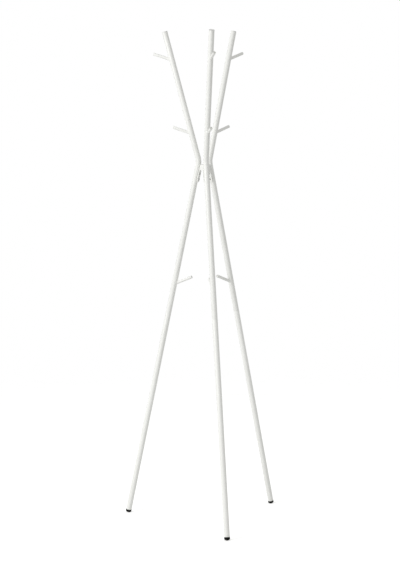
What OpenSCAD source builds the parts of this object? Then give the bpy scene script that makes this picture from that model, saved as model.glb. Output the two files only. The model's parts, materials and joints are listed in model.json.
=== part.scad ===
// Standing coat rack: three bent steel tubes lean together at a waist, splay out
// above it to carry pegs and splay out below it as a tripod. A folded steel hub
// holds the three tubes at the waist, with two screws into each tube.
// Each tube is in two lengths, joined by a spigot below the lowest peg.
// +Z is up and the floor is Z = 0. The front leg points along -Y.

/* [Stand] */
// Height from the floor to the highest edge of the tubes
overall_h = 1700; // [1500:10:1900]
// Height of the bend at the waist, where the two limbs' centre lines meet
waist_h = 1254; // [1150:1:1300]
// Distance from the stand's centre line to that bend
waist_r = 21; // [20:0.5:30]
// Lean of the tube above the waist, in degrees from upright
upper_lean = 15; // [10:0.1:20]
// Lean of the tube below the waist, in degrees from upright
lower_lean = 12.7; // [10:0.1:16]

/* [Tubes] */
// Outside diameter of the tubes
tube_d = 19; // [16:0.5:22]
// Wall thickness of the tubes
tube_wall = 1.2; // [1:0.1:1.5]
// Centre-line radius of the bend
bend_r = 55; // [40:5:80]
// Height of the joint between the upper and the lower tube
joint_h = 725; // [600:5:780]
// Bevel round the two tube ends that meet at the joint
joint_bevel = 0.4; // [0.2:0.1:0.8]

/* [Spigots] */
// Length of the spigot inside each tube joint
spigot_l = 100; // [60:10:140]
// Radial clearance between the spigot and the tubes
spigot_gap = 0.1; // [0.05:0.05:0.3]
// Wall thickness of the spigot
spigot_wall = 1.5; // [1:0.5:3]

/* [Pegs] */
// Diameter of the pegs
peg_d = 10; // [8:1:12]
// Length of a peg from the tube's centre line to its tip
peg_reach = 70; // [50:5:90]
// Height at which the top pegs meet the tubes
top_peg_h = 1601; // [1560:1:1640]
// Height at which the middle pegs meet the tubes
middle_peg_h = 1350; // [1320:1:1500]
// Height at which the low pegs meet the tubes
low_peg_h = 828; // [800:1:1100]
// Rise of the top and middle pegs above level, in degrees
peg_rise = 17.5; // [10:0.5:30]
// Rise of the low pegs, which point inwards, in degrees
low_peg_rise = 21.5; // [10:0.5:30]
// Bevel round the tip of a peg
peg_bevel = 0.4; // [0.2:0.1:0.8]
// Depth of the cup in the tip of a peg
peg_cup = 4; // [1:0.5:10]
// Distance from the tube's centre line to the outer end of a peg's weld
peg_weld_end = 16; // [16:0.5:20]

/* [Hub] */
// Thickness of the folded steel
hub_plate = 2.5; // [2:0.5:3]
// Width of the three faces that the tubes lie against
tab_w = 20; // [18:1:22]
// Distance along the tube from the bend to the top of the hub
hub_top = 11; // [10:1:16]
// Height of the closed band round the hub
band_h = 19; // [14:1:22]
// Distance along the tube from the bend to the lower end of the tabs
tab_end = 72; // [68:1:84]
// Corner radius of the tabs' lower ends
tab_corner = 5; // [2:1:8]

/* [Fasteners] */
// Distance along the tube from the bend to the upper screw
screw_top = 41; // [40:1:44]
// Distance between the two screws of a tab
screw_pitch = 19; // [16:1:22]
// Thread diameter of the screws
screw_d = 5; // [4:1:5]
// Length of the screws under the head
screw_l = 12; // [10:1:12]
// Diameter of the screws' round heads
head_d = 9.5; // [8:0.5:10.5]
// Height of the screws' round heads
head_h = 2.8; // [2:0.2:3.4]
// Width across flats of the hexagon socket
socket_af = 3; // [2.5:0.5:4]
// Depth of the hexagon socket
socket_depth = 1.8; // [1.2:0.2:2.4]
// Outside diameter of the rivet nuts in the tubes
nut_d = 7; // [6.5:0.5:8]
// Length of the rivet nuts
nut_l = 11; // [9:1:12]

/* [Feet and caps] */
// Diameter of the rubber feet
foot_d = 20; // [19:0.5:24]
// Length of the straight collar of a foot
foot_collar = 6.5; // [3:0.5:8]
// Radius of the domed underside of a foot
dome_r = 12.5; // [12.5:0.5:16]
// How much of the dome is flattened where it stands on the floor
foot_flat = 0.7; // [0.4:0.1:1]
// Length of the stem of a foot inside the tube
foot_stem_l = 24; // [16:2:40]
// Thickness of the visible disc of a top cap
cap_t = 2; // [1.5:0.5:4]
// Bevel round the rim of a top cap
cap_bevel = 0.5; // [0.2:0.1:0.7]
// Length of the stem of a top cap inside the tube
cap_stem_l = 14; // [10:2:20]
// Wall thickness of that stem
cap_stem_wall = 1.5; // [1:0.5:3]

/* [Hidden] */
$fn = 96;
SIDES = ["front", "right", "left"];
LEG_PIECES = [
    "upper_tube", "lower_tube", "tube_spigot", "foot", "top_cap",
    "top_peg", "middle_peg", "low_peg",
    "upper_hub_screw", "lower_hub_screw", "upper_rivet_nut", "lower_rivet_nut"
];

tube_r = tube_d / 2;
bore_d = tube_d - 2 * tube_wall;
overshoot = 1;
big = 300;

// A tube runs from its cap, down its upper limb, round the bend and down its lower limb.
bend_angle = upper_lean + lower_lean;
tangent_l = bend_r * tan(bend_angle / 2);
cap_face_h = overall_h - (tube_r - cap_bevel) * sin(upper_lean);
upper_l = (cap_face_h - waist_h) / cos(upper_lean) - cap_t;
joint_l = (waist_h - joint_h) / cos(lower_lean);

// The dome's centre sits so that the flattened patch lies on the floor.
dome_drop = sqrt(pow(dome_r, 2) - pow(foot_d / 2, 2));
dome_centre_h = dome_r - foot_flat;
lower_l = (waist_h - dome_centre_h) / cos(lower_lean) + dome_drop - foot_collar;
foot_axis_r = waist_r + (waist_h - dome_centre_h) * tan(lower_lean);

// One foot reaches forwards, and two reach about half as far backwards. The stand's centre
// line is set back by stand_y, so that the origin is under the middle of its outline.
rim_r = foot_axis_r + dome_drop * sin(lower_lean);
front_reach = rim_r + foot_d / 2 * cos(lower_lean);
back_reach = rim_r * cos(60) + foot_d / 2;
stand_y = (front_reach - back_reach) / 2;

// Clearances: stems in their tubes, screws in their nuts, and screws in the tabs' holes.
stem_gap = 0.1;
thread_gap = 0.1;
hole_gap = 0.5;

function side_turn(side) = side == "front" ? -90 : side == "right" ? 30 : 150;

// Stands a piece drawn in the front-to-back plane of a leg (+X outwards) at one side.
module on_leg(side) {
    translate([0, stand_y, 0]) rotate([0, 0, side_turn(side)]) children();
}

// Puts a piece on the centre line of the upper limb, `along` above the bend, +Z up the tube.
module on_upper(along) {
    translate([waist_r, 0, waist_h]) rotate([0, upper_lean, 0]) translate([0, 0, along]) children();
}

// Puts a piece on the centre line of the lower limb, `along` below the bend, +Z up the tube.
module on_lower(along) {
    translate([waist_r, 0, waist_h]) rotate([0, -lower_lean, 0]) translate([0, 0, -along]) children();
}

// A straight rod up the upper limb, from the end of the bend to `top_l` above it.
module upper_rod(d, top_l) {
    on_upper(tangent_l) cylinder(d = d, h = top_l - tangent_l);
}

// A straight rod down the lower limb, between two distances below the bend.
module lower_rod(d, from_l, to_l) {
    on_lower(to_l) cylinder(d = d, h = to_l - from_l);
}

// The curved rod that joins the two limbs.
module bend_rod(d) {
    on_lower(tangent_l) translate([bend_r, 0, 0]) rotate([90, 0, 180])
        rotate_extrude(angle = bend_angle) translate([bend_r, 0]) circle(d = d);
}

// The whole bent rod, which the tube and its bore share.
module bent_rod(d, top_l, bottom_l) {
    upper_rod(d, top_l);
    bend_rod(d);
    lower_rod(d, tangent_l, bottom_l);
}

// Holes in the inner side of a tube for its rivet nuts.
module nut_holes() {
    for (along = [screw_top, screw_top + screw_pitch])
        on_lower(along) rotate([0, -90, 0]) cylinder(d = nut_d, h = tube_d);
}

module upper_tube() {
    color("whitesmoke") difference() {
        union() {
            bent_rod(tube_d, upper_l, joint_l - joint_bevel);
            on_lower(joint_l) cylinder(d1 = tube_d - 2 * joint_bevel, d2 = tube_d, h = joint_bevel);
        }
        bent_rod(bore_d, upper_l + overshoot, joint_l + overshoot);
        nut_holes();
    }
}

module lower_tube() {
    bevel_l = joint_l + joint_bevel;
    color("whitesmoke") difference() {
        union() {
            lower_rod(tube_d, bevel_l, lower_l);
            on_lower(bevel_l) cylinder(d1 = tube_d, d2 = tube_d - 2 * joint_bevel, h = joint_bevel);
        }
        lower_rod(bore_d, joint_l - overshoot, lower_l + overshoot);
    }
}

// The sleeve inside a tube joint, half in each tube.
module tube_spigot() {
    outer_d = bore_d - 2 * spigot_gap;
    inner_d = outer_d - 2 * spigot_wall;
    top_l = joint_l - spigot_l / 2;
    bottom_l = joint_l + spigot_l / 2;
    color("darkgray") difference() {
        lower_rod(outer_d, top_l, bottom_l);
        lower_rod(inner_d, top_l - overshoot, bottom_l + overshoot);
    }
}

// A round bar from the centre line of a tube, with its weld as a cone. Its tip is bevelled and
// cupped, like the end of a tube that is closed a little way in.
module peg_bar() {
    difference() {
        union() {
            cylinder(d1 = bore_d, d2 = peg_d, h = peg_weld_end);
            translate([0, 0, peg_weld_end])
                cylinder(d = peg_d, h = peg_reach - peg_bevel - peg_weld_end);
            translate([0, 0, peg_reach - peg_bevel])
                cylinder(d1 = peg_d, d2 = peg_d - 2 * peg_bevel, h = peg_bevel);
        }
        translate([0, 0, peg_reach - peg_cup])
            cylinder(d = peg_d - 2 * tube_wall, h = peg_cup + overshoot);
    }
}

// A peg on the upper limb, which points outwards and up. The tube's own form is cut from it.
module upper_peg(height) {
    along = (height - waist_h) / cos(upper_lean);
    color("whitesmoke") difference() {
        on_upper(along) rotate([0, 90 - peg_rise - upper_lean, 0]) peg_bar();
        on_upper(along - peg_reach) cylinder(d = tube_d, h = 2 * peg_reach);
    }
}

// A peg on the lower limb, which points inwards and up.
module lower_peg(height) {
    along = (waist_h - height) / cos(lower_lean);
    color("whitesmoke") difference() {
        on_lower(along) rotate([0, lower_lean + low_peg_rise - 90, 0]) peg_bar();
        on_lower(along + peg_reach) cylinder(d = tube_d, h = 2 * peg_reach);
    }
}

// The space on the centre line's side of the plane in which one tab's outer face lies.
module tab_side(inset) {
    on_lower(0) translate([-tube_r - inset - big, -big / 2, -big / 2]) cube(big);
}

// The space inside the plane of the web that joins two neighbouring tabs. At the height of
// the bend the web passes through the side edges of the two tabs.
module web_side(inset) {
    web_lean = atan(tan(lower_lean) / 2);
    apex_r = waist_r - tube_r / cos(lower_lean);
    web_r = apex_r * cos(60) + tab_w / 2 * sin(60);
    translate([web_r, 0, waist_h]) rotate([0, -web_lean, 0])
        translate([-inset - big, -big / 2, -big / 2]) cube(big);
}

// The six-sided, slightly flared form of the hub, with its faces moved inwards by `inset`.
module hub_form(inset) {
    intersection_for(turn = [0, 120, 240]) rotate([0, 0, turn]) intersection() {
        tab_side(inset);
        rotate([0, 0, 60]) web_side(inset);
    }
}

// One tab, flat against the inner side of its tube, with two screw holes.
module hub_tab() {
    inner_x = -tube_r - hub_plate;
    translate([waist_r, 0, waist_h]) rotate([0, -lower_lean, 0]) translate([inner_x, 0, 0])
        rotate([90, 0, 90]) linear_extrude(hub_plate) difference() {
            union() {
                translate([-tab_w / 2, tab_corner - tab_end])
                    square([tab_w, tab_end - tab_corner - hub_top - band_h / 2]);
                translate([tab_corner - tab_w / 2, -tab_end])
                    square([tab_w - 2 * tab_corner, tab_corner]);
                for (x = [tab_corner - tab_w / 2, tab_w / 2 - tab_corner])
                    translate([x, tab_corner - tab_end]) circle(r = tab_corner);
            }
            for (along = [screw_top, screw_top + screw_pitch])
                translate([0, -along]) circle(d = screw_d + hole_gap);
        }
}

module hub_bracket() {
    band_top = waist_h - hub_top * cos(lower_lean);
    color("whitesmoke") translate([0, stand_y, 0]) {
        intersection() {
            difference() {
                hub_form(0);
                hub_form(hub_plate);
            }
            translate([-big / 2, -big / 2, band_top - band_h]) cube([big, big, band_h]);
        }
        for (side = SIDES) rotate([0, 0, side_turn(side)]) hub_tab();
    }
}

// A round-headed screw through a tab, driven from the middle of the stand into a rivet nut.
module hub_screw(along) {
    dome = (pow(head_d / 2, 2) + pow(head_h, 2)) / (2 * head_h);
    color("silver") on_lower(along) rotate([0, -90, 0]) translate([0, 0, tube_r + hub_plate])
        difference() {
            union() {
                intersection() {
                    cylinder(d = head_d, h = head_h);
                    translate([0, 0, head_h - dome]) sphere(r = dome);
                }
                translate([0, 0, -screw_l]) cylinder(d = screw_d - thread_gap, h = screw_l);
            }
            translate([0, 0, head_h - socket_depth])
                cylinder(d = socket_af / cos(30), h = head_h, $fn = 6);
        }
}

// A threaded insert set in the wall of a tube, its outer face against the tab.
module rivet_nut(along) {
    color("silver") on_lower(along) rotate([0, -90, 0]) translate([0, 0, tube_r - nut_l])
        difference() {
            cylinder(d = nut_d, h = nut_l);
            translate([0, 0, -overshoot]) cylinder(d = screw_d, h = nut_l + 2 * overshoot);
        }
}

// The rubber foot: a stem in the tube, a collar under its end and a flattened dome.
module foot() {
    color("black") intersection() {
        on_lower(lower_l) {
            cylinder(d = bore_d - 2 * stem_gap, h = foot_stem_l);
            translate([0, 0, -foot_collar]) cylinder(d = foot_d, h = foot_collar);
            translate([0, 0, -foot_collar]) intersection() {
                translate([0, 0, dome_drop]) sphere(r = dome_r);
                translate([0, 0, -dome_r]) cylinder(d = foot_d, h = dome_r);
            }
        }
        translate([foot_axis_r - big / 2, -big / 2, 0]) cube(big);
    }
}

// The plastic cap: a bevelled disc over the end of the tube, on a hollow stem.
module top_cap() {
    stem_d = bore_d - 2 * stem_gap;
    color("gainsboro") on_upper(upper_l) {
        cylinder(d1 = tube_d - 2 * cap_bevel, d2 = tube_d, h = cap_bevel);
        translate([0, 0, cap_bevel]) cylinder(d = tube_d, h = cap_t - 2 * cap_bevel);
        translate([0, 0, cap_t - cap_bevel])
            cylinder(d1 = tube_d, d2 = tube_d - 2 * cap_bevel, h = cap_bevel);
        difference() {
            translate([0, 0, -cap_stem_l]) cylinder(d = stem_d, h = cap_stem_l);
            translate([0, 0, -cap_stem_l - overshoot])
                cylinder(d = stem_d - 2 * cap_stem_wall, h = cap_stem_l);
        }
    }
}

hub_bracket();
for (side = SIDES) {
    on_leg(side) upper_tube();
    on_leg(side) lower_tube();
    on_leg(side) tube_spigot();
    on_leg(side) foot();
    on_leg(side) top_cap();
    on_leg(side) upper_peg(top_peg_h);
    on_leg(side) upper_peg(middle_peg_h);
    on_leg(side) lower_peg(low_peg_h);
    on_leg(side) hub_screw(screw_top);
    on_leg(side) hub_screw(screw_top + screw_pitch);
    on_leg(side) rivet_nut(screw_top);
    on_leg(side) rivet_nut(screw_top + screw_pitch);
}
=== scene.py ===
import json
import math

import bmesh
import bpy
from mathutils import Matrix, Vector


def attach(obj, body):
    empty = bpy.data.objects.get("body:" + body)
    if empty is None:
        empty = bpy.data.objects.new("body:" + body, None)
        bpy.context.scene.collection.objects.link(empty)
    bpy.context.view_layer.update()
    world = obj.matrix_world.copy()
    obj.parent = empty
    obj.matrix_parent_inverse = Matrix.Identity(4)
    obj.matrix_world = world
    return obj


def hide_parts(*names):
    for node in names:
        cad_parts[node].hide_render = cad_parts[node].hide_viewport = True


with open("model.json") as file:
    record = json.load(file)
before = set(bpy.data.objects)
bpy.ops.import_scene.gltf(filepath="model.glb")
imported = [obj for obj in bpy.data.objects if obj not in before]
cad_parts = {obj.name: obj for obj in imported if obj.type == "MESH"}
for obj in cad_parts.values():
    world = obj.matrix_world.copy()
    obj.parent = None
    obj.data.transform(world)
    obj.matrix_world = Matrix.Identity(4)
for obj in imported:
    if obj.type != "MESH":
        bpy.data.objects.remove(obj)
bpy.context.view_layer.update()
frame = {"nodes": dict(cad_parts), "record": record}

# The looks of a standing coat rack: three bent, powder-coated tubes on a folded hub.
# Lengths are in metres, in the CAD frame: +Z is up, the floor is Z = 0 and the front leg
# points along -Y. The pegs and feet come from the record's mounts; the other sizes below
# are the design's own.

MM = 0.001
SIDES = ("front", "right", "left")
UP = Vector((0, 0, 1))

# Stand
OVERALL_H = 1.700
WAIST_H = 1.254
WAIST_R = 21 * MM
UPPER_LEAN = math.radians(15)
LOWER_LEAN = math.radians(12.7)

# Tubes, and the joint between the two lengths of each
TUBE_R = 9.5 * MM
BORE_R = 8.3 * MM
BEND_R = 55 * MM
JOINT_H = 0.725
JOINT_BEVEL = 0.4 * MM
TUBE_RIM = 0.3 * MM

# Pegs: where the plain bar starts, measured from the tube's centre line, and the cup in its tip
PEG_WELD_END = 16 * MM
PEG_TIP_BEVEL = 0.4 * MM
PEG_CUP = 4 * MM
PEG_CUP_LIP = 0.25 * MM
PEG_CUP_ROUND = 0.6 * MM
PEG_WALL = 1.2 * MM

# Weld at a peg's root: the leg of its fillet, how deep it starts in the tube, and how uneven
# and rippled it is, as shares of the leg. The powers give the fillet its hollow curve.
WELD_LEG = 2.1 * MM
WELD_SUNK = 0.6 * MM
WELD_UNEVEN = 0.06
WELD_RIPPLE = 0.05
WELD_RIPPLES = 22
WELD_POWERS = (0.8, 0.9)
WELD_STEPS = 7

# Hub: its top and the ends of its tabs are measured down the limbs from the corner of the bend
HUB_PLATE = 2.5 * MM
TAB_HALF = 10 * MM
TAB_END = 72 * MM
TAB_CORNER = 5 * MM
HUB_TOP = 11 * MM
BAND_H = 19 * MM
FOLD_R = 3.4 * MM
HUB_RIM = 0.3 * MM
THIRDS = [2 * math.pi * i / 3 for i in range(3)]

# Fasteners: the upper screw's place is measured in the same way
SCREW_TOP = 41 * MM
SCREW_PITCH = 19 * MM
HOLE_R = 2.75 * MM
NUT_R = 3.5 * MM
HEAD_R = 4.75 * MM
HEAD_H = 2.8 * MM
SHANK_R = 2.45 * MM
SHANK_L = 12 * MM
SOCKET_AF = 3 * MM
SOCKET_DEPTH = 1.8 * MM

# Feet and caps
FOOT_R = 10 * MM
FOOT_COLLAR = 6.5 * MM
FOOT_DOME_R = 12.5 * MM
FOOT_FLAT = 0.7 * MM
FOOT_ROUND = 0.7 * MM
FOOT_STEM_L = 24 * MM
RIBS = 4
RIB_PITCH = 5 * MM
GROOVES = (3.0 * MM, 4.6 * MM)
GROOVE_W = 0.5 * MM
GROOVE_DEPTH = 0.3 * MM
CAP_T = 2 * MM
CAP_BEVEL = 0.5 * MM
CAP_DISH = 0.25 * MM
CAP_WEB = 1 * MM
CAP_STEM_L = 14 * MM
CAP_STEM_WALL = 1.5 * MM
STEM_GAP = 0.1 * MM

# Derived: how far the centre of a foot's dome is above the dome's rim, the height of the middle
# of a cap's face, and then places along the limbs, measured from the corner of the bend
DOME_DROP = math.sqrt(FOOT_DOME_R ** 2 - FOOT_R ** 2)
CAP_FACE_H = OVERALL_H - (TUBE_R - CAP_BEVEL) * math.sin(UPPER_LEAN)
UPPER_L = (CAP_FACE_H - WAIST_H) / math.cos(UPPER_LEAN) - CAP_T
JOINT_L = (WAIST_H - JOINT_H) / math.cos(LOWER_LEAN)
BAND_END = HUB_TOP + BAND_H / math.cos(LOWER_LEAN)
LOWER_L = (WAIST_H - FOOT_DOME_R + FOOT_FLAT) / math.cos(LOWER_LEAN) + DOME_DROP - FOOT_COLLAR

MOUNTS = {mount["name"]: mount for mount in frame["record"]["mounts"]}
FEET = {side: Vector(MOUNTS[side + "_foot_patch"]["pos_m"]) for side in SIDES}
CENTRE = sum(FEET.values(), Vector()) / len(SIDES)

# Mesh density: the sides of round pieces, and the steps along bends and the hub's faces
TUBE_SIDES = 64
PEG_SIDES = 110
SMALL_SIDES = 48
BEND_STEPS = 24
FOLD_STEPS = 8
HALF_FOLD = FOLD_STEPS // 2
TAB_STEPS = 16
WEB_STEPS = 4
BAND_STEPS = 4
TAB_ROWS = 24
TAB_COLUMNS = TAB_STEPS + 2 * HALF_FOLD + 1

# Shading breaks, and the hub's rims are rounded, at edges that turn by more than these
SHARP = math.radians(35)
HUB_SHARP = math.radians(40)
HUB_RIM_ANGLE = math.radians(60)
FOOT_SHARP = math.radians(50)

# Holes are cut at a thousand times the size, with the tool turned a little
DRILL_SCALE = 1000
DRILL_TURN = math.radians(1.7)

# Camera: its turn round the stand, place, aim and lens
CAMERA_TURN = math.radians(11.53)
CAMERA_DISTANCE = 5.860
CAMERA_H = 1.538
CAMERA_TILT = math.radians(6.92)
CAMERA_PAN = math.radians(-0.21)
CAMERA_ROLL = math.radians(0.68)
CAMERA_LENS_MM = 107.6

# Key light: its turn round the stand, elevation, distance, width and height, and watts
KEY_TURN = math.radians(-68)
KEY_ELEVATION = math.radians(18)
KEY_DISTANCE = 6.0
KEY_SIZE = (1.2, 2.4)
KEY_POWER = 172
KEY_TARGET_H = 0.55 * OVERALL_H

# Studio: the strength of its light from below and above, and what shows of its walls.
# The white wall behind the stand ends between two angles, given as cosines.
LIGHT_BELOW = 0.46
LIGHT_ABOVE = 0.70
LIGHT_COLOUR = (1, 1, 0.988, 1)
WALL_BEHIND = 1.0
WALL_ASIDE = 0.80
WALL_EDGES = (0.60, 0.96)

# Floor: the radii of its rings, the distances over which it fades out, and its own glow
FLOOR_RINGS = (0, 0.5, 1.0, 1.6, 2.4, 3.2)
FLOOR_FADE = (1.0, 3.0)
FLOOR_SIDES = 96
FLOOR_GLOW = 0.42


# ---------------------------------------------------------------- places

def leg_space(side):
    """A leg's space: X points outwards from the stand's centre line, and Z up."""
    out = (FEET[side] - CENTRE).normalized()
    axes = Matrix((out, UP.cross(out), UP)).transposed()
    return Matrix.Translation(CENTRE) @ axes.to_4x4()


def limb_space(side, lean, along=0.0):
    """A limb's space: Z runs up its centre line, from a point `along` above the bend."""
    corner = Matrix.Translation((WAIST_R, 0, WAIST_H))
    return leg_space(side) @ corner @ Matrix.Rotation(lean, 4, "Y") @ Matrix.Translation((0, 0, along))


def screw_space(side, along):
    """A hub screw's space: Z points out of its head, towards the middle of the stand."""
    return limb_space(side, -LOWER_LEAN, -along) @ Matrix.Rotation(-math.pi / 2, 4, "Y")


def screw_places():
    """The distance below the bend of the two screws of a tab."""
    return SCREW_TOP, SCREW_TOP + SCREW_PITCH


# ---------------------------------------------------------------- meshes

def circle(radius, height, sides):
    """A level ring of points round Z; a radius of 0 gives one point."""
    if radius == 0:
        return [Vector((0, 0, height))]
    turns = [2 * math.pi * i / sides for i in range(sides)]
    return [Vector((radius * math.cos(t), radius * math.sin(t), height)) for t in turns]


def hexagon(across_flats, height, sides):
    """A level hexagonal ring with as many points as a circle of `sides`, a multiple of 12."""
    points = []
    for i in range(sides):
        turn = 2 * math.pi * i / sides
        from_flat = (turn + math.pi / 6) % (math.pi / 3) - math.pi / 6
        radius = across_flats / 2 / math.cos(from_flat)
        points.append(Vector((radius * math.cos(turn), radius * math.sin(turn), height)))
    return points


def arc(centre, radius, start, end, steps):
    """Points (r, z) on a circular arc of a profile; the angles are in degrees."""
    angles = [math.radians(start + (end - start) * i / steps) for i in range(steps + 1)]
    return [(centre[0] + radius * math.cos(a), centre[1] + radius * math.sin(a)) for a in angles]


def skin(rings, loop=False):
    """Joins rings of points, each to the next, and gives the vertices and faces."""
    points = [p for ring in rings for p in ring]
    starts = [sum(len(ring) for ring in rings[:k]) for k in range(len(rings))]
    faces = []
    for k in range(len(rings) if loop else len(rings) - 1):
        m = (k + 1) % len(rings)
        a, b = len(rings[k]), len(rings[m])
        for i in range(max(a, b)):
            j = (i + 1) % max(a, b)
            corners = [starts[k] + i % a, starts[k] + j % a, starts[m] + j % b, starts[m] + i % b]
            faces.append(list(dict.fromkeys(corners)))
    return points, faces


def lathe(profile, sides):
    """A turned form from a profile of (r, z) points."""
    return skin([circle(r, z, sides) for r, z in profile])


def link_object(name, data):
    """Adds an object with the given data to the scene."""
    obj = bpy.data.objects.new(name, data)
    bpy.context.scene.collection.objects.link(obj)
    return obj


def mesh_object(name, points, faces):
    """Makes an object from points and faces, and turns its faces outwards."""
    mesh = bpy.data.meshes.new(name)
    mesh.from_pydata(points, [], faces)
    work = bmesh.new()
    work.from_mesh(mesh)
    bmesh.ops.recalc_face_normals(work, faces=work.faces)
    work.to_mesh(mesh)
    work.free()
    return link_object(name, mesh)


def piece(name, shape, material, nodes, space=Matrix.Identity(4), sharp=SHARP):
    """Makes a visible piece that stands for the given CAD nodes."""
    points, faces = shape
    obj = mesh_object(name, [space @ p for p in points], faces)
    smooth(obj, sharp)
    obj.data.materials.append(material)
    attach(obj, "root")
    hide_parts(*nodes)
    return obj


def smooth(obj, sharp):
    """Smooth shading, broken at edges that turn by more than `sharp`."""
    work = bmesh.new()
    work.from_mesh(obj.data)
    for face in work.faces:
        face.smooth = True
    for edge in work.edges:
        turn = edge.calc_face_angle(math.pi) if len(edge.link_faces) == 2 else math.pi
        edge.smooth = turn < sharp
    work.to_mesh(obj.data)
    work.free()


def apply_modifiers(obj):
    """Replaces the mesh with its modified form and removes the modifiers."""
    shown = obj.evaluated_get(bpy.context.evaluated_depsgraph_get())
    mesh = bpy.data.meshes.new_from_object(shown)
    obj.modifiers.clear()
    obj.data = mesh


def drill(obj, radius, length, spaces):
    """Cuts round holes, each from the origin of its space along its Z. The cuts come out
    exact at a larger scale, and the tool is turned so that its corners miss the mesh's own
    edges."""
    larger = Matrix.Scale(DRILL_SCALE, 4)
    turned = Matrix.Rotation(DRILL_TURN, 4, "Z")
    points, faces = lathe([(0, 0), (radius, 0), (radius, length), (0, length)], SMALL_SIDES)
    obj.data.transform(larger)
    for space in spaces:
        cutter = mesh_object("drill", [larger @ space @ turned @ p for p in points], faces)
        cutter_mesh = cutter.data
        cut = obj.modifiers.new("hole", "BOOLEAN")
        cut.operation = "DIFFERENCE"
        cut.solver = "EXACT"
        cut.object = cutter
        apply_modifiers(obj)
        bpy.data.objects.remove(cutter)
        bpy.data.meshes.remove(cutter_mesh)
    obj.data.transform(larger.inverted())


# ---------------------------------------------------------------- materials

def add(tree, kind, inputs=None, **settings):
    """Adds a node; `inputs` maps a socket to a constant or to another node's socket."""
    node = tree.nodes.new(kind)
    for name, value in settings.items():
        setattr(node, name, value)
    for name, value in (inputs or {}).items():
        if isinstance(value, bpy.types.NodeSocket):
            tree.links.new(value, node.inputs[name])
        else:
            node.inputs[name].default_value = value
    return node


def noise(tree, place, size, detail=2.0, rough=0.5):
    """Noise with features of about `size` metres."""
    inputs = {"Vector": place, "Scale": 1 / size, "Detail": detail, "Roughness": rough}
    return add(tree, "ShaderNodeTexNoise", inputs).outputs["Fac"]


def spread(tree, value, low, high):
    """Maps noise, which is mostly from 0.3 to 0.7, to a range."""
    inputs = {"Value": value, "From Min": 0.3, "From Max": 0.7, "To Min": low, "To Max": high}
    return add(tree, "ShaderNodeMapRange", inputs).outputs["Result"]


def blend(tree, factor, first, second):
    """A colour between two colours."""
    node = add(tree, "ShaderNodeMix", data_type="RGBA")
    tree.links.new(factor, node.inputs["Factor"])
    for socket, colour in ((node.inputs[6], first), (node.inputs[7], second)):
        if isinstance(colour, bpy.types.NodeSocket):
            tree.links.new(colour, socket)
        else:
            socket.default_value = (*colour, 1)
    return node.outputs[2]


def bump(tree, height, distance, strength=1.0, under=None):
    """A bump of `distance` metres, on top of another one if given."""
    inputs = {"Height": height, "Distance": distance, "Strength": strength}
    if under:
        inputs["Normal"] = under
    return add(tree, "ShaderNodeBump", inputs).outputs["Normal"]


def start_material(name):
    """An empty material with its shader and the place on the object."""
    material = bpy.data.materials.new(name)
    material.use_nodes = True
    tree = material.node_tree
    tree.nodes.clear()
    shader = add(tree, "ShaderNodeBsdfPrincipled")
    add(tree, "ShaderNodeOutputMaterial", {"Surface": shader.outputs["BSDF"]})
    place = add(tree, "ShaderNodeTexCoord").outputs["Object"]
    return material, tree, shader, place


def link(tree, shader, **sockets):
    """Links values to the shader's sockets, named with _ for a space."""
    for name, value in sockets.items():
        tree.links.new(value, shader.inputs[name.replace("_", " ")])


def powder_coat():
    """White powder coat: an orange peel of 1.8 mm waves, a finer grain, a few dull flecks,
    and a film whose thickness varies slowly."""
    material, tree, shader, place = start_material("powder_coat")
    thin, thick, dull = (0.845, 0.848, 0.822), (0.872, 0.874, 0.852), (0.70, 0.70, 0.68)
    film = spread(tree, noise(tree, place, 90 * MM, 3), 0, 1)
    specks = noise(tree, place, 0.6 * MM, 3, 0.7)
    fleck = add(tree, "ShaderNodeMapRange",
                {"Value": specks, "From Min": 0.68, "From Max": 0.74, "To Min": 0, "To Max": 0.35})
    coat = blend(tree, film, thin, thick)
    peel = noise(tree, place, 1.8 * MM, 2)
    grain = noise(tree, place, 0.4 * MM, 1)
    normal = bump(tree, grain, 0.03 * MM, 0.4, bump(tree, peel, 0.12 * MM, 0.6))
    link(tree, shader,
         Base_Color=blend(tree, fleck.outputs["Result"], coat, dull),
         Roughness=spread(tree, noise(tree, place, 20 * MM, 3), 0.34, 0.46),
         Normal=normal)
    shader.inputs["Specular IOR Level"].default_value = 0.45
    return material


def zinc():
    """Zinc-plated steel: a cloudy, faintly blue and yellow film over fine scratches."""
    material, tree, shader, place = start_material("zinc")
    bluish, yellowish = (0.53, 0.54, 0.55), (0.60, 0.59, 0.55)
    cloud = spread(tree, noise(tree, place, 4 * MM, 3), 0, 1)
    stretched = add(tree, "ShaderNodeMapping", {"Vector": place, "Scale": (1, 9, 1.5)})
    scratches = noise(tree, stretched.outputs["Vector"], 1.2 * MM, 4, 0.7)
    link(tree, shader,
         Base_Color=blend(tree, cloud, bluish, yellowish),
         Roughness=spread(tree, scratches, 0.24, 0.42),
         Normal=bump(tree, scratches, 0.01 * MM, 0.5))
    shader.inputs["Metallic"].default_value = 1
    return material


def bare_steel():
    """Drawn steel tube, unpainted, with a grain along it and a trace of oil."""
    material, tree, shader, place = start_material("bare_steel")
    dark, light = (0.33, 0.33, 0.32), (0.46, 0.45, 0.44)
    drawn = add(tree, "ShaderNodeMapping", {"Vector": place, "Scale": (1, 1, 0.05)})
    grain = noise(tree, drawn.outputs["Vector"], 0.5 * MM, 4, 0.6)
    link(tree, shader,
         Base_Color=blend(tree, spread(tree, grain, 0, 1), dark, light),
         Roughness=spread(tree, grain, 0.3, 0.5),
         Normal=bump(tree, grain, 0.015 * MM, 0.5))
    shader.inputs["Metallic"].default_value = 1
    return material


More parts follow.
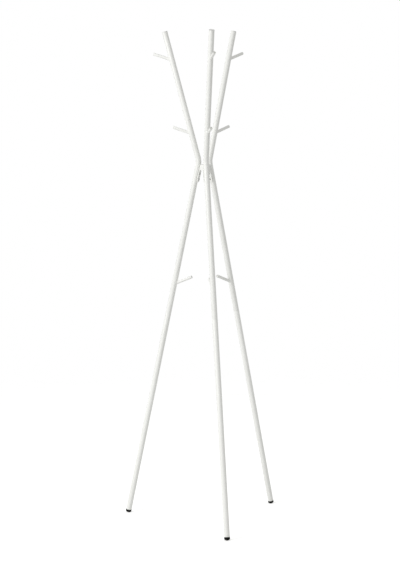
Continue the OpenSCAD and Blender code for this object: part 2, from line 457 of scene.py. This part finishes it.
def rubber():
    """Moulded black rubber with a fine texture, and a little floor dust on its lowest part."""
    material, tree, shader, place = start_material("rubber")
    black, faded, dusty = (0.005, 0.005, 0.005), (0.010, 0.010, 0.009), (0.04, 0.038, 0.035)
    dust_h = 3 * MM
    grain = noise(tree, place, 0.6 * MM, 3, 0.6)
    height = add(tree, "ShaderNodeSeparateXYZ", {"Vector": place}).outputs["Z"]
    near = add(tree, "ShaderNodeMapRange",
               {"Value": height, "From Min": dust_h, "From Max": 0, "To Min": 0, "To Max": 1})
    patches = spread(tree, noise(tree, place, 2.5 * MM, 4, 0.6), 0, 0.6)
    dust = add(tree, "ShaderNodeMath", {0: near.outputs["Result"], 1: patches}, operation="MULTIPLY")
    plain = blend(tree, spread(tree, grain, 0, 1), black, faded)
    link(tree, shader,
         Base_Color=blend(tree, dust.outputs["Value"], plain, dusty),
         Roughness=spread(tree, grain, 0.5, 0.68),
         Normal=bump(tree, grain, 0.15 * MM, 0.8))
    shader.inputs["Specular IOR Level"].default_value = 0.12
    return material


def cap_plastic():
    """Light grey moulded plastic with a fine spark-eroded texture."""
    material, tree, shader, place = start_material("cap_plastic")
    dark, light = (0.70, 0.70, 0.69), (0.74, 0.74, 0.73)
    texture = noise(tree, place, 0.4 * MM, 2, 0.6)
    cloud = spread(tree, noise(tree, place, 5 * MM, 2), 0, 1)
    link(tree, shader,
         Base_Color=blend(tree, cloud, dark, light),
         Roughness=spread(tree, texture, 0.42, 0.56),
         Normal=bump(tree, texture, 0.08 * MM, 0.8))
    return material


# ---------------------------------------------------------------- tubes

def bent_stations(top, bottom):
    """(centre, lean) along the bent centre line in leg space, from `top` above the bend's
    corner to `bottom` below it."""
    corner = Vector((WAIST_R, 0, WAIST_H))
    above = Vector((math.sin(UPPER_LEAN), 0, math.cos(UPPER_LEAN)))
    below = Vector((math.sin(LOWER_LEAN), 0, -math.cos(LOWER_LEAN)))
    tangent = BEND_R * math.tan((UPPER_LEAN + LOWER_LEAN) / 2)
    outwards = Vector((math.cos(LOWER_LEAN), 0, math.sin(LOWER_LEAN)))
    middle = corner + below * tangent + outwards * BEND_R
    stations = [(corner + above * top, UPPER_LEAN)]
    for i in range(BEND_STEPS + 1):
        lean = UPPER_LEAN - (UPPER_LEAN + LOWER_LEAN) * i / BEND_STEPS
        stations.append((middle - BEND_R * Vector((math.cos(lean), 0, -math.sin(lean))), lean))
    stations.append((corner + below * bottom, -LOWER_LEAN))
    return stations


def straight_stations(top, bottom):
    """(centre, lean) at the ends of a stretch of the lower limb, in leg space."""
    corner = Vector((WAIST_R, 0, WAIST_H))
    below = Vector((math.sin(LOWER_LEAN), 0, -math.cos(LOWER_LEAN)))
    return [(corner + below * along, -LOWER_LEAN) for along in (top, bottom)]


def tube_ring(centre, lean, radius):
    """A ring round a tube's centre line, in leg space."""
    out = Vector((math.cos(lean), 0, -math.sin(lean)))
    side = Vector((0, 1, 0))
    turns = [2 * math.pi * i / TUBE_SIDES for i in range(TUBE_SIDES)]
    return [centre + radius * (out * math.cos(t) + side * math.sin(t)) for t in turns]


def rounded_end(centre, lean, inwards, bevel):
    """Rings of the rounded rim of a tube's end; `inwards` is the way into the tube."""
    rings = []
    steps = 3
    for i in range(steps + 1):
        turn = math.pi / 2 * i / steps
        back = inwards * bevel * (1 - math.sin(turn))
        rings.append(tube_ring(centre + back, lean, TUBE_R - bevel * (1 - math.cos(turn))))
    return rings


def tube_shape(stations, top_bevel, bottom_bevel):
    """A hollow tube along its stations, with rounded rims."""
    (top, top_lean), (bottom, bottom_lean) = stations[0], stations[-1]
    down = (stations[1][0] - top).normalized()
    up = (stations[-2][0] - bottom).normalized()
    outer = rounded_end(top, top_lean, down, top_bevel)[::-1]
    outer += [tube_ring(centre, lean, TUBE_R) for centre, lean in stations[1:-1]]
    outer += rounded_end(bottom, bottom_lean, up, bottom_bevel)
    inner = [tube_ring(centre, lean, BORE_R) for centre, lean in reversed(stations)]
    return skin(outer + inner, loop=True)


def make_tubes(side, paint):
    """The two lengths of a leg's tube. The upper one has the holes for its rivet nuts."""
    space = leg_space(side)
    bent = tube_shape(bent_stations(UPPER_L, JOINT_L), TUBE_RIM, JOINT_BEVEL)
    upper = piece(side + "_tube_bent", bent, paint, [side + "_upper_tube"], space)
    drill(upper, NUT_R, 1.5 * TUBE_R, [screw_space(side, along) for along in screw_places()])
    smooth(upper, SHARP)
    straight = tube_shape(straight_stations(JOINT_L, LOWER_L), JOINT_BEVEL, TUBE_RIM)
    piece(side + "_tube_straight", straight, paint, [side + "_lower_tube"], space)


# ---------------------------------------------------------------- pegs

def peg_profile(bar_r, bar_l):
    """Points (radius, distance along the peg) from the bar beyond its weld, over the tip and
    down to the middle of the cup's floor, which is slightly raised."""
    clear_of_weld = PEG_WELD_END + 3 * MM
    tip = PEG_WELD_END + bar_l + PEG_TIP_BEVEL
    cup_r = bar_r - PEG_WALL
    floor = tip - PEG_CUP
    profile = [(bar_r, clear_of_weld)]
    profile += arc((bar_r - PEG_TIP_BEVEL, tip - PEG_TIP_BEVEL), PEG_TIP_BEVEL, 0, 90, 5)
    profile += arc((cup_r + PEG_CUP_LIP, tip - PEG_CUP_LIP), PEG_CUP_LIP, 90, 180, 2)
    profile += arc((cup_r - PEG_CUP_ROUND, floor + PEG_CUP_ROUND), PEG_CUP_ROUND, 0, -90, 2)
    return profile + [(0.4 * cup_r, floor + 0.1 * MM), (0, floor + 0.15 * MM)]


def make_peg(side, kind, paint):
    """A peg: a weld fillet that follows the tube, a round bar and a tip with a cup in it."""
    mount = MOUNTS[f"{side}_{kind}_peg_end"]
    axis = Vector(mount["axis"])
    bar_r = mount["dims"]["r_mm"] * MM
    bar_l = mount["dims"]["length_mm"] * MM
    root = Vector(mount["pos_m"]) - axis * (PEG_WELD_END + bar_l / 2)
    lean = -LOWER_LEAN if kind == "low" else UPPER_LEAN
    tube = (limb_space(side, lean).to_3x3() @ UP).normalized()
    if axis.dot(tube) < 0:
        tube = -tube
    away = (axis - tube * axis.dot(tube)).normalized()
    sine, cosine = axis.dot(away), axis.dot(tube)
    first = away * cosine - tube * sine
    second = axis.cross(first)

    def on_tube(radius, turn):
        """How far along the peg a line beside its axis leaves the tube."""
        chord = math.sqrt(TUBE_R ** 2 - (radius * math.sin(turn)) ** 2)
        return (chord - radius * math.cos(turn) * cosine) / sine

    def ring(radius_at, along_at):
        """A ring of points round the peg's axis; both arguments are functions."""
        points = []
        for i in range(PEG_SIDES):
            turn = 2 * math.pi * i / PEG_SIDES
            radius = radius_at(turn)
            outwards = first * math.cos(turn) + second * math.sin(turn)
            points.append(root + axis * along_at(radius, turn) + outwards * radius)
        return points

    def leg(turn):
        """The weld's size round the peg: a little uneven, as hand welds are, and rippled."""
        uneven = WELD_UNEVEN * math.sin(3 * turn + 0.6)
        return WELD_LEG * (1 + uneven + WELD_RIPPLE * math.sin(WELD_RIPPLES * turn))

    rings = [[root + axis * (TUBE_R - 2 * WELD_SUNK)]]
    rings.append(ring(lambda t: bar_r + leg(t), lambda r, t: on_tube(r, t) - WELD_SUNK))
    for i in range(WELD_STEPS + 1):
        u = math.pi / 2 * i / WELD_STEPS
        beside = (1 - math.sin(u)) ** WELD_POWERS[0]
        above = (1 - math.cos(u)) ** WELD_POWERS[1]
        rings.append(ring(lambda t: bar_r + leg(t) * beside, lambda r, t: on_tube(r, t) + leg(t) * above))
    profile = peg_profile(bar_r, bar_l)
    for radius, along in profile[:-1]:
        rings.append(ring(lambda t: radius, lambda r, t: along))
    rings.append([root + axis * profile[-1][1]])
    piece(f"{side}_{kind}_peg_bar", skin(rings), paint, [f"{side}_{kind}_peg"])


# ---------------------------------------------------------------- hub

def tab_distance(height):
    """How far the outer faces of the hub's tabs are from the centre line at a height."""
    at_bend = WAIST_R - TUBE_R / math.cos(LOWER_LEAN)
    return at_bend + (WAIST_H - height) * math.tan(LOWER_LEAN)


def directions(facing):
    """The way that a tab of the hub faces, and the way across it."""
    out = Vector((math.cos(facing), math.sin(facing), 0))
    return out, UP.cross(out)


def fold_point(facing, sign, turn, height):
    """A point on the round fold beside a tab; `sign` says on which side of it."""
    out, across = directions(facing)
    flat = TAB_HALF - FOLD_R * math.tan(math.pi / 6)
    middle = out * (tab_distance(height) - FOLD_R) + across * sign * flat + UP * height
    return middle + FOLD_R * (out * math.cos(turn) + across * sign * math.sin(turn))


def hub_outline(height):
    """The six-sided outline of the hub's outer faces at a height, with round folds. It
    starts in the middle of the fold before the first tab, and each third of it has the
    columns of a tab and then of a web."""
    turns = [math.pi / 3 * i / FOLD_STEPS for i in range(FOLD_STEPS + 1)]
    points = []
    for facing in THIRDS:
        before = [fold_point(facing, -1, t, height) for t in turns[HALF_FOLD::-1]]
        after = [fold_point(facing, 1, t, height) for t in turns]
        coming = [fold_point(facing + THIRDS[1], -1, t, height) for t in turns[:HALF_FOLD:-1]]
        tab = [before[-1].lerp(after[0], i / TAB_STEPS) for i in range(1, TAB_STEPS)]
        web = [after[-1].lerp(coming[0], i / WEB_STEPS) for i in range(1, WEB_STEPS)]
        points += before + tab + after + web + coming
    return points


def tab_point(facing, sideways, share):
    """A point on a tab below the band: `share` goes from 0, at the band, to 1, at its end."""
    out, across = directions(facing)
    past = max(0.0, abs(sideways) - (TAB_HALF - TAB_CORNER))
    lift = TAB_CORNER - math.sqrt(TAB_CORNER ** 2 - past ** 2)
    reach = BAND_END + (TAB_END - lift - BAND_END) * share
    height = WAIST_H - reach * math.cos(LOWER_LEAN)
    return out * tab_distance(height) + across * sideways + UP * height


def hub_shape():
    """The outer surface of the folded sheet: a closed band, and a tab below each third."""
    top = WAIST_H - HUB_TOP * math.cos(LOWER_LEAN)
    rows = [hub_outline(top - BAND_H * i / BAND_STEPS) for i in range(BAND_STEPS + 1)]
    points, faces = skin(rows)
    count = len(rows[0])
    last_row = len(points) - count
    for third, facing in enumerate(THIRDS):
        start = third * count // 3
        above = [last_row + (start + i) % count for i in range(TAB_COLUMNS)]
        for step in range(1, TAB_ROWS + 1):
            row = [len(points) + i for i in range(TAB_COLUMNS)]
            for i in range(TAB_COLUMNS):
                sideways = TAB_HALF * (2 * i / (TAB_COLUMNS - 1) - 1)
                points.append(tab_point(facing, sideways, step / TAB_ROWS))
            for i in range(TAB_COLUMNS - 1):
                faces.append([above[i], above[i + 1], row[i + 1], row[i]])
            above = row
    return points, faces


def make_hub(paint):
    """The hub: its outer surface, thickened inwards, drilled and rounded at its rims."""
    hub = piece("hub_folded_sheet", hub_shape(), paint, ["hub_bracket"],
                leg_space("right"))
    sheet = hub.modifiers.new("sheet", "SOLIDIFY")
    sheet.thickness = HUB_PLATE
    sheet.offset = -1
    sheet.use_even_offset = True
    apply_modifiers(hub)
    rim = hub.modifiers.new("rim", "BEVEL")
    rim.width = HUB_RIM
    rim.segments = 2
    rim.angle_limit = HUB_RIM_ANGLE
    apply_modifiers(hub)
    below = Matrix.Translation((0, 0, TUBE_R - HUB_PLATE))
    holes = [screw_space(side, along) @ below for side in SIDES for along in screw_places()]
    drill(hub, HOLE_R, 3 * HUB_PLATE, holes)
    smooth(hub, HUB_SHARP)


# ---------------------------------------------------------------- fasteners, feet and caps

def make_screw(side, name, along, metal):
    """A round-headed screw with a hexagon socket, whose mouth is wider than its corners."""
    dome_r = (HEAD_R ** 2 + HEAD_H ** 2) / (2 * HEAD_H)
    dome_z = HEAD_H - dome_r
    mouth_r = 1.12 * SOCKET_AF / math.sqrt(3)
    tip_bevel = 0.6 * MM
    under_rim = 0.12 * MM
    rim = 0.35 * MM
    start = math.asin((rim - dome_z) / dome_r)
    end = math.acos(mouth_r / dome_r)
    profile = [(0, -SHANK_L), (SHANK_R - tip_bevel, -SHANK_L), (SHANK_R, tip_bevel - SHANK_L),
               (SHANK_R, 0), (HEAD_R - rim, 0), (HEAD_R - 0.1 * MM, under_rim)]
    profile += arc((0, dome_z), dome_r, math.degrees(start), math.degrees(end), 9)
    rings = [circle(r, z, SMALL_SIDES) for r, z in profile]
    mouth_z = dome_z + dome_r * math.sin(end)
    mouth_depth = 0.2 * MM
    floor_z = HEAD_H - SOCKET_DEPTH
    floor_cone = 0.4 * MM
    rings.append(hexagon(SOCKET_AF, mouth_z - mouth_depth, SMALL_SIDES))
    rings.append(hexagon(SOCKET_AF, floor_z, SMALL_SIDES))
    rings.append(circle(0, floor_z - floor_cone, SMALL_SIDES))
    on_tab = Matrix.Translation((0, 0, TUBE_R + HUB_PLATE))
    piece(f"{side}_{name}_button_head", skin(rings), metal, [f"{side}_{name}_hub_screw"],
          screw_space(side, along) @ on_tab)


def make_foot(side, material):
    """A rubber foot: a ribbed stem, a collar with two moulded grooves, and a dome that is
    pressed flat on the floor."""
    rib_r = BORE_R - STEM_GAP
    core_r = rib_r - 0.5 * MM
    rib_slope = 1.2 * MM
    rib_back = 0.2 * MM
    stem_round = 1.5 * MM
    profile = [(0, FOOT_STEM_L)]
    profile += arc((core_r - stem_round, FOOT_STEM_L - stem_round), stem_round, 90, 0, 4)
    for rib in range(1, RIBS + 1):
        edge = FOOT_STEM_L - rib * RIB_PITCH
        profile += [(core_r, edge + rib_slope), (rib_r, edge), (core_r, edge - rib_back)]
    profile.append((core_r, 0))
    profile += arc((FOOT_R - FOOT_ROUND, -FOOT_ROUND), FOOT_ROUND, 90, 0, 4)
    half = GROOVE_W / 2
    for groove in GROOVES:
        profile += [(FOOT_R, half - groove), (FOOT_R - GROOVE_DEPTH, -groove), (FOOT_R, -half - groove)]
    dome_z = DOME_DROP - FOOT_COLLAR
    dome_start = -math.degrees(math.asin(DOME_DROP / FOOT_DOME_R))
    profile += arc((0, dome_z), FOOT_DOME_R, dome_start, -90, 24)[:-1]
    profile.append((0, dome_z - FOOT_DOME_R))
    points, faces = lathe(profile, TUBE_SIDES)
    space = limb_space(side, -LOWER_LEAN, -LOWER_L)
    placed = [space @ p for p in points]
    for p in placed:
        p.z = max(p.z, 0.0)
    piece(side + "_foot_rubber", (placed, faces), material, [side + "_foot"], sharp=FOOT_SHARP)


def make_cap(side, material):
    """A top cap: a shallow dished disc with rounded rims and a gate mark, on a hollow stem."""
    stem_r = BORE_R - STEM_GAP
    inner_r = stem_r - CAP_STEM_WALL
    stem_bevel = 0.5 * MM
    under_rim = 0.35 * MM
    rim = 0.6 * MM
    lip_r, dish_r = TUBE_R - 1.6 * MM, TUBE_R - 2.2 * MM
    dished = CAP_T - CAP_DISH
    gate_r, gate_floor_r = 1.1 * MM, 0.8 * MM
    gate = dished - 0.2 * MM
    profile = [(0, -CAP_WEB), (inner_r, -CAP_WEB), (inner_r, -CAP_STEM_L)]
    profile += [(stem_r - stem_bevel, -CAP_STEM_L), (stem_r, stem_bevel - CAP_STEM_L), (stem_r, 0)]
    profile += arc((TUBE_R - under_rim, under_rim), under_rim, -90, 0, 3)
    profile += arc((TUBE_R - rim, CAP_T - rim), rim, 0, 90, 5)
    profile += [(lip_r, CAP_T), (dish_r, dished)]
    profile += [(gate_r, dished), (gate_floor_r, gate), (0, gate)]
    piece(side + "_cap_moulding", lathe(profile, TUBE_SIDES), material,
          [side + "_top_cap"], limb_space(side, UPPER_LEAN, UPPER_L))


# ---------------------------------------------------------------- studio

def make_camera():
    """The camera stands in front of the stand, a little to its left, and looks down."""
    facing = Matrix.Rotation(-CAMERA_TURN, 4, "Z")
    place = Matrix.Translation(CENTRE) @ facing @ Matrix.Translation((0, -CAMERA_DISTANCE, CAMERA_H))
    level = Matrix.Rotation(math.pi / 2, 4, "X")
    turned = Matrix.Rotation(-CAMERA_PAN, 4, "Y") @ Matrix.Rotation(-CAMERA_TILT, 4, "X")
    data = bpy.data.cameras.new("camera")
    data.lens = CAMERA_LENS_MM
    camera = link_object("camera", data)
    camera.matrix_world = place @ level @ turned @ Matrix.Rotation(-CAMERA_ROLL, 4, "Z")
    bpy.context.scene.camera = camera


def make_studio():
    """A white studio: soft light that grows from below to above. Its walls show white behind
    the stand and dim round the sides, so that the stand can be made out from there."""
    world = bpy.data.worlds.new("studio")
    bpy.context.scene.world = world
    world.use_nodes = True
    tree = world.node_tree
    tree.nodes.clear()
    direction = add(tree, "ShaderNodeTexCoord").outputs["Generated"]
    height = add(tree, "ShaderNodeSeparateXYZ", {"Vector": direction}).outputs["Z"]
    strength = add(tree, "ShaderNodeMapRange",
                   {"Value": height, "From Min": -1, "From Max": 1,
                    "To Min": LIGHT_BELOW, "To Max": LIGHT_ABOVE})
    light = add(tree, "ShaderNodeBackground",
                {"Color": LIGHT_COLOUR, "Strength": strength.outputs["Result"]})
    behind = Vector((math.sin(CAMERA_TURN), math.cos(CAMERA_TURN), 0))
    ahead = add(tree, "ShaderNodeVectorMath", {0: direction, 1: behind}, operation="DOT_PRODUCT")
    wall = add(tree, "ShaderNodeMapRange",
               {"Value": ahead.outputs["Value"], "From Min": WALL_EDGES[0], "From Max": WALL_EDGES[1],
                "To Min": WALL_ASIDE, "To Max": WALL_BEHIND}, interpolation_type="SMOOTHSTEP")
    shown = add(tree, "ShaderNodeBackground", {"Color": (1, 1, 1, 1), "Strength": wall.outputs["Result"]})
    seen = add(tree, "ShaderNodeLightPath").outputs["Is Camera Ray"]
    mixed = add(tree, "ShaderNodeMixShader", {0: seen})
    tree.links.new(light.outputs["Background"], mixed.inputs[1])
    tree.links.new(shown.outputs["Background"], mixed.inputs[2])
    add(tree, "ShaderNodeOutputWorld", {"Surface": mixed.outputs["Shader"]})


def make_key_light():
    """A large soft box to the left of the stand, aimed at its middle."""
    data = bpy.data.lights.new("key_light", "AREA")
    data.shape = "RECTANGLE"
    data.size, data.size_y = KEY_SIZE
    data.energy = KEY_POWER
    light = link_object("key_light", data)
    level = Vector((math.sin(KEY_TURN), -math.cos(KEY_TURN), 0))
    back = level * math.cos(KEY_ELEVATION) + UP * math.sin(KEY_ELEVATION)
    light.location = CENTRE + UP * KEY_TARGET_H + back * KEY_DISTANCE
    light.rotation_mode = "QUATERNION"
    light.rotation_quaternion = (-back).to_track_quat("-Z", "Y")


def floor_material():
    """Pale and matt, with a glow that only the camera sees, and clear towards its edge."""
    material = bpy.data.materials.new("floor")
    material.use_nodes = True
    tree = material.node_tree
    tree.nodes.clear()
    place = add(tree, "ShaderNodeTexCoord").outputs["Object"]
    offset = add(tree, "ShaderNodeVectorMath", {0: place, 1: CENTRE}, operation="DISTANCE")
    fade = add(tree, "ShaderNodeMapRange",
               {"Value": offset.outputs["Value"], "From Min": FLOOR_FADE[0], "From Max": FLOOR_FADE[1]},
               interpolation_type="SMOOTHSTEP")
    shader = add(tree, "ShaderNodeBsdfPrincipled")
    shader.inputs["Base Color"].default_value = (0.86, 0.86, 0.855, 1)
    shader.inputs["Roughness"].default_value = 0.7
    shader.inputs["Emission Color"].default_value = (1, 1, 1, 1)
    seen = add(tree, "ShaderNodeLightPath").outputs["Is Camera Ray"]
    glow = add(tree, "ShaderNodeMath", {0: seen, 1: FLOOR_GLOW}, operation="MULTIPLY")
    tree.links.new(glow.outputs["Value"], shader.inputs["Emission Strength"])
    clear = add(tree, "ShaderNodeBsdfTransparent")
    mixed = add(tree, "ShaderNodeMixShader", {0: fade.outputs["Result"]})
    tree.links.new(shader.outputs["BSDF"], mixed.inputs[1])
    tree.links.new(clear.outputs["BSDF"], mixed.inputs[2])
    add(tree, "ShaderNodeOutputMaterial", {"Surface": mixed.outputs["Shader"]})
    return material


def make_floor():
    """A round pale floor that fades into the white of the studio with distance."""
    points, faces = lathe([(radius, 0) for radius in FLOOR_RINGS], FLOOR_SIDES)
    mesh = bpy.data.meshes.new("floor")
    mesh.from_pydata([p + CENTRE for p in points], [], faces)
    mesh.materials.append(floor_material())
    link_object("floor", mesh)


# ---------------------------------------------------------------- the whole scene

def main():
    """Makes the pieces of the stand, then the studio round it."""
    paint, metal, steel = powder_coat(), zinc(), bare_steel()
    black, grey = rubber(), cap_plastic()
    make_camera()
    make_hub(paint)
    for side in SIDES:
        make_tubes(side, paint)
        for kind in ("top", "middle", "low"):
            make_peg(side, kind, paint)
        for name, along in zip(("upper", "lower"), screw_places()):
            make_screw(side, name, along, metal)
            frame["nodes"][f"{side}_{name}_rivet_nut"].material_slots[0].material = metal
        frame["nodes"][side + "_tube_spigot"].material_slots[0].material = steel
        make_foot(side, black)
        make_cap(side, grey)
    make_studio()
    make_key_light()
    make_floor()
    bpy.context.scene.view_settings.view_transform = "Standard"


main()
